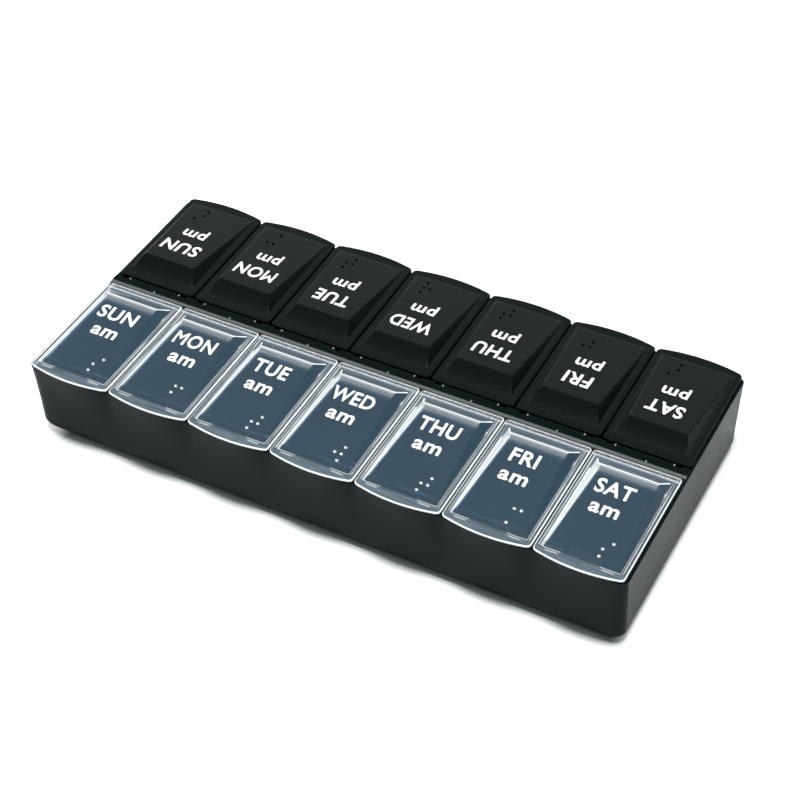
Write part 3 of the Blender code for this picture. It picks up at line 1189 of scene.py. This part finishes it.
def smoky_body():
    material, tree, shader = plastic("smoky_body", 0.06, transmission=0.72, specular=0.3)
    surface = placed(tree, skin)
    place = placed(tree, lid_place)
    along = place.outputs["Along"]
    tone = blend_colours(tree, surface.outputs["Drift"], slate, slate_worn)

    # Painted highlight: a pale haze below the ridge and a bright crest on it.
    painted_haze = inverse(tree, ramp(tree, along, ridge_place, ridge_place + painted_haze_depth))
    painted_haze = product(tree, painted_haze, ramp(tree, along, ridge_place - painted_haze_rise, ridge_place), painted_haze_share)
    tone = blend_colours(tree, painted_haze, tone, smoke_highlight)
    on_riser = math_node(tree, "LESS_THAN", along, ridge_place)
    crest_highlight = inverse(tree, ramp(tree, along, ridge_place, ridge_place + crest_highlight_depth))
    crest_highlight = product(tree, crest_highlight, inverse(tree, on_riser))
    tone = blend_colours(tree, crest_highlight, tone, smoke_highlight)

    # Painted highlight: a tapering band down the left side of the long face.
    down = math_node(tree, "SUBTRACT", along, ridge_place)
    down = math_node(tree, "DIVIDE", down, toe_y - ridge_y, True)
    from_side = math_node(tree, "ADD", place.outputs["Offset"], dome_half_width)
    from_edge = math_node(tree, "SUBTRACT", from_side, between(tree, down, ridge_inset, toe_inset))
    side_highlight = math_node(tree, "DIVIDE", from_edge, between(tree, down, side_highlight_at_ridge, side_highlight_at_toe))
    side_highlight = inverse(tree, ramp(tree, side_highlight, side_highlight_core, 1.0))
    side_highlight = product(tree, side_highlight, ramp(tree, along, ridge_place - sink, ridge_place))
    tree.links.new(blend_colours(tree, side_highlight, tone, smoke_highlight), shader.inputs["Base Color"])

    # Painted glow on the crest, the band and the steep face behind the ridge.
    lit = math_node(tree, "MAXIMUM", product(tree, crest_highlight, crest_light), product(tree, on_riser, riser_light))
    lit = math_node(tree, "MAXIMUM", side_highlight, lit)
    tree.links.new(blend_colours(tree, lit, unlit, smoke_highlight), shader.inputs["Emission Color"])
    shader.inputs["Emission Strength"].default_value = dome_glow
    tree.links.new(between(tree, surface.outputs["Drift"], *dome_roughness), shader.inputs["Roughness"])
    return material


# %% [markdown]
# ## Sides and flange of a smoky lid
#
# The dome's steep sides are dark when one looks into them and white at a glancing
# angle, a painted sheen that turns the colour itself white. The flange is read in three
# parts. Beside the dome it shows thin lines painted into the colour, two dark and a broken
# bright one, which are the skirt and the well's wall seen from above; the bright one is a
# painted highlight. Along the hinge it is speckled, between two pale lines. In front of
# the toe it is a plain smoky grey with a short second line at both corners, a painted
# highlight for a small second step. Nothing stands beside the Sunday lid, so light comes
# through its free edge; that light is painted white with a faint glow, and it leaves one
# painted dark line.

# %% Smoky sides and flange
facing_start, facing_full = 0.48, 0.60
side_dark = (0.045, 0.085, 0.120)

flange_foot = dome_half_width + foot_margin
flange_width = lid_half_width - rim_radius - flange_foot
line_places = {"inner": 0.12, "bright": 0.42, "free": 0.62, "outer": 0.78}
line_half_widths = {"inner": 0.00020, "bright": 0.00022, "free": 0.00052, "outer": 0.00018}
broken_scale = (400, 60, 400)
toe_scale = (120, 900, 400)
speckle_scale = (2400, 2600, 900)
speckle_contrast = 2.4
strip_deep, strip_mid = (0.04, 0.05, 0.06), (0.24, 0.27, 0.29)
strip_line_deep, strip_line_pale = (0.40, 0.43, 0.46), (0.72, 0.76, 0.79)
strip_lines = (0.0005, 0.0022)
strip_line_half_width = 0.0006
bracket_gap = 0.0010
bracket_half_width = 0.00036
bracket_middle = 0.0090
bracket_reach = 0.0026
free_edge_glow = 0.30
row_start = hinge_points["sun_am_lid"].x - lid_half_width


def smoky_side():
    material, tree, shader = plastic("smoky_side", 0.10, transmission=0.15, specular=0.3)
    weight = tree.nodes.new("ShaderNodeLayerWeight")
    # Painted sheen: the colour turns white as the view grazes the face.
    painted_sheen = ramp(tree, weight.outputs["Facing"], facing_start, facing_full)
    tree.links.new(blend_colours(tree, painted_sheen, side_dark, smoke_white), shader.inputs["Base Color"])
    return material


def smoky_flange():
    material, tree, shader = plastic("smoky_flange", 0.14, transmission=0.35)
    place = placed(tree, lid_place)
    across, along = place.outputs["Across"], place.outputs["Along"]
    lines = {
        name: line_at(tree, across, flange_foot + share * flange_width, line_half_widths[name])
        for name, share in line_places.items()
    }
    # Painted lines: two dark ones for the skirt and the well's wall below, and a broken painted highlight.
    dark = math_node(tree, "MAXIMUM", lines["inner"], lines["outer"])
    bright = product(tree, lines["bright"], streaks(tree, broken_scale))
    sides = blend_colours(tree, dark, smoke_grey, smoke_dark)
    sides = blend_colours(tree, bright, sides, smoke_white)
    # Painted light: the Sunday lid's free edge is white with a faint glow, crossed by one painted dark line.
    is_free = math_node(tree, "LESS_THAN", place.outputs["Week"], row_start + dome_side_margin)
    free_edge_light = blend_colours(tree, lines["free"], smoke_white, smoke_dark)
    sides = blend_colours(tree, is_free, sides, free_edge_light)

    speckle = streaks(tree, speckle_scale, speckle_contrast)
    strip = blend_colours(tree, speckle, strip_deep, strip_mid)
    first, second = (line_at(tree, along, line, strip_line_half_width) for line in strip_lines)
    pale = blend_colours(tree, speckle, strip_line_deep, strip_line_pale)
    strip = blend_colours(tree, math_node(tree, "MAXIMUM", first, second), strip, pale)

    toe = blend_colours(tree, streaks(tree, toe_scale), smoke_deep, smoke_grey)
    # Painted highlight: a short pale line at both toe corners, where a small second step lies.
    bracket = line_at(tree, along, toe_place + bracket_gap, bracket_half_width)
    bracket = product(tree, bracket, line_at(tree, across, bracket_middle, bracket_reach))
    toe = blend_colours(tree, bracket, toe, smoke_pale)

    on_strip = math_node(tree, "LESS_THAN", along, dome_hinge_margin - foot_margin)
    past_toe = math_node(tree, "GREATER_THAN", along, toe_place)
    tone = blend_colours(tree, past_toe, blend_colours(tree, on_strip, sides, strip), toe)
    tree.links.new(tone, shader.inputs["Base Color"])
    tree.links.new(blend_colours(tree, is_free, unlit, free_edge_light), shader.inputs["Emission Color"])
    shader.inputs["Emission Strength"].default_value = free_edge_glow
    return material


# %% [markdown]
# ## Bright edges and the ink
#
# The rim, the hips and the foot of the dome gather the most light, so they get a painted
# highlight: a nearly white colour with a faint painted glow. Only the middle of the toe
# stays plain and darker, painted shade where the tongue below swallows the light. The
# print is a matte white ink with a fine grain.

# %% Smoky edges and ink
edge_glow = 0.17
ink_low, ink_high = (0.90, 0.91, 0.92), (0.95, 0.96, 0.97)
ink_grain_scale = 6000.0
ink_grain_height = 0.00002


def smoky_highlight():
    material, tree, shader = plastic("smoky_highlight", 0.16, transmission=0.15)
    surface = placed(tree, skin)
    place = placed(tree, lid_place)
    along = place.outputs["Along"]
    at_toe = math_node(tree, "GREATER_THAN", along, toe_y - lid_near - sink)
    inside = math_node(tree, "LESS_THAN", along, toe_place + foot_margin + sink)
    middle = math_node(tree, "LESS_THAN", place.outputs["Across"], tongue_gap_width / 2)
    # Painted shade: the middle of the toe stays dark where the tongue below swallows the light.
    under_tongue_shade = product(tree, at_toe, inside, middle)
    # Painted highlight with a faint painted glow on the rim, the hips and the foot.
    white = blend_colours(tree, surface.outputs["Drift"], smoke_highlight, smoke_white)
    tree.links.new(blend_colours(tree, under_tongue_shade, white, smoke_deep), shader.inputs["Base Color"])
    tree.links.new(blend_colours(tree, under_tongue_shade, smoke_white, unlit), shader.inputs["Emission Color"])
    shader.inputs["Emission Strength"].default_value = edge_glow
    return material


def white_ink():
    material, tree, shader = plastic("white_ink", 0.45)
    surface = placed(tree, skin, Grain_Scale=ink_grain_scale)
    tone = blend_colours(tree, surface.outputs["Drift"], ink_low, ink_high)
    tree.links.new(tone, shader.inputs["Base Color"])
    rough_to_touch(tree, shader, surface.outputs["Grain"], 0.2, ink_grain_height)
    return material


smoky = (smoky_body(), smoky_flange(), smoky_highlight(), smoky_side())
ink = white_ink()

# %% [markdown]
# ## Dressing the pieces
#
# Each piece gets its materials in the order of the finish numbers, and then every face
# is told its number. On the tray, the painted light on the chamfer and the pale marks,
# most of them painted glints, are picked out in the same way.

# %% Dress the pieces
plain_finish, chamfer_painted_light, glint_mark_finish = 0, 1, 2
chamfer_lean = 0.1


# The chamfer towards the am lids carries painted light, and the raised marks carry their pale colour.
def tray_finish_of(centre, normal):
    if centre.z > bar_top + merge_distance and abs(centre.y) < lip_reach:
        return glint_mark_finish
    on_chamfer = -sink < centre.y + bar_half_width < bar_chamfer and normal.y < -chamfer_lean
    return chamfer_painted_light if on_chamfer and centre.z > closed_height - axis_depth else plain_finish


def dress(thing, slot, *materials):
    thing.data.materials.clear()
    for material in materials:
        thing.data.materials.append(material)


for node, lid in lids.items():
    if "_am_" in node:
        dress(lid, "smoky_plastic", *smoky)
        sort_faces(lid, seat_of(node), finish_of)
    else:
        # A black lid's dots get the painted shade.
        dress(lid, "black_plastic", lid_black, dot_painted_dark)
        sort_faces(lid, seat_of(node), on_dot)
    dress(words[node], "white_print", ink)
dress(tray, "black_plastic", tray_black, spine_painted_light, glint_mark_pale)
sort_faces(tray, Matrix.Identity(4), tray_finish_of)
print("dressed", len(lids) + len(words) + 1, "pieces")

# %% [markdown]
# ## The floor
#
# The object stands on plain white, with a dark contact shadow in front and none beside
# its ends. One lamp would shade the ends too, so past them the floor is lifted for the
# camera alone. A floor that reaches a little beyond the picture is enough.

# %% Floor
floor_reach = 0.45
floor_tint = (0.92, 0.95, 0.955)
fill_middle = 0.003
fill_start, fill_full = 0.098, 0.107
floor_fill = 0.60
white = (1.0, 1.0, 1.0)

floor_bm = bmesh.new()
bmesh.ops.create_grid(floor_bm, x_segments=1, y_segments=1, size=floor_reach)
floor = solid_from(floor_bm, "floor")
floor.data.transform(Matrix.Translation((0, 0, tray_low.z)))
floor_white, floor_tree, floor_shader = plastic("floor_white", 0.9, specular=0.0)
floor_shader.inputs["Base Color"].default_value = (*floor_tint, 1)
floor.data.materials.append(floor_white)

floor_split = floor_tree.nodes.new("ShaderNodeSeparateXYZ")
floor_point = floor_tree.nodes.new("ShaderNodeTexCoord").outputs["Object"]
floor_tree.links.new(floor_point, floor_split.inputs["Vector"])
from_middle = math_node(floor_tree, "SUBTRACT", floor_split.outputs["X"], fill_middle)
past_end = ramp(floor_tree, math_node(floor_tree, "ABSOLUTE", from_middle), fill_start, fill_full)
seen_floor = floor_tree.nodes.new("ShaderNodeLightPath").outputs["Is Camera Ray"]
fill = blend_colours(floor_tree, product(floor_tree, past_end, seen_floor), unlit, white)
floor_tree.links.new(fill, floor_shader.inputs["Emission Color"])
floor_shader.inputs["Emission Strength"].default_value = floor_fill

# %% [markdown]
# ## The world
#
# The camera sees plain white. Mirrored and refracted rays see a sky that is bright at
# the horizon, and dims towards the zenith and towards +X, as between the soft boxes of a
# product table. Everything else gets a weak light from above.

# %% World
sky_low, sky_high = 0.15, 0.85
shade_start, shade_full = 0.20, 0.65
sky_dim = 0.16
ambient = 0.45
ambient_power = 2.0
sky_tint = (0.93, 1.0, 1.01)

world = bpy.data.worlds.new("studio")
bpy.context.scene.world = world
world.use_nodes = True
sky = world.node_tree
backdrop = sky.nodes["Background"]
ray = sky.nodes.new("ShaderNodeLightPath").outputs
split = sky.nodes.new("ShaderNodeSeparateXYZ")
sky.links.new(sky.nodes.new("ShaderNodeTexCoord").outputs["Generated"], split.inputs["Vector"])
fall = ramp(sky, split.outputs["Z"], sky_low, sky_high, 1.0, sky_dim)
shade = ramp(sky, split.outputs["X"], shade_start, shade_full, 1.0, sky_dim)
seen = math_node(sky, "MAXIMUM", ray["Is Glossy Ray"], ray["Is Transmission Ray"])
mirrored = product(sky, seen, product(sky, fall, shade))
overhead = product(sky, math_node(sky, "POWER", split.outputs["Z"], ambient_power), ambient)
unseen = product(sky, inverse(sky, seen), overhead)
strength = math_node(sky, "MAXIMUM", math_node(sky, "ADD", mirrored, unseen), ray["Is Camera Ray"])
sky.links.new(strength, backdrop.inputs["Strength"])
sky.links.new(blend_colours(sky, ray["Is Camera Ray"], sky_tint, white), backdrop.inputs["Color"])

# %% [markdown]
# ## Lamp and camera
#
# One long lamp hangs above and a little in front, and points straight down, so the
# contact shadow stays close to the tray. It is hidden from mirrors, because on such flat
# lids its reflection would be a hard white shape. The camera's place, turn and lens were
# fitted to the gaps between the lids.

# %% Lamp
key_place = (0.02, -0.08, 1.25)
key_length = 0.60
key_depth = 0.16
key_power = 21.0
key_data = bpy.data.lights.new("key", "AREA")
key_data.energy = key_power
key_data.shape = "RECTANGLE"
key_data.size = key_length
key_data.size_y = key_depth
key = bpy.data.objects.new("key", key_data)
key.location = key_place
key.visible_glossy = False
bpy.context.scene.collection.objects.link(key)

# %% Camera
camera_x, camera_y = 0.2225, -0.40765
lens_over_lids = 0.42126
camera_turn = (46.857, 0.583, 27.483)
lens_length = 86.793
sensor_width = 36

camera_data = bpy.data.cameras.new("camera")
camera_data.sensor_width = sensor_width
camera_data.lens = lens_length
camera = bpy.data.objects.new("camera", camera_data)
camera.location = (camera_x, camera_y, closed_height + lens_over_lids)
camera.rotation_euler = [math.radians(turn) for turn in camera_turn]
bpy.context.scene.collection.objects.link(camera)
bpy.context.scene.camera = camera
bpy.context.scene.view_settings.view_transform = "Standard"
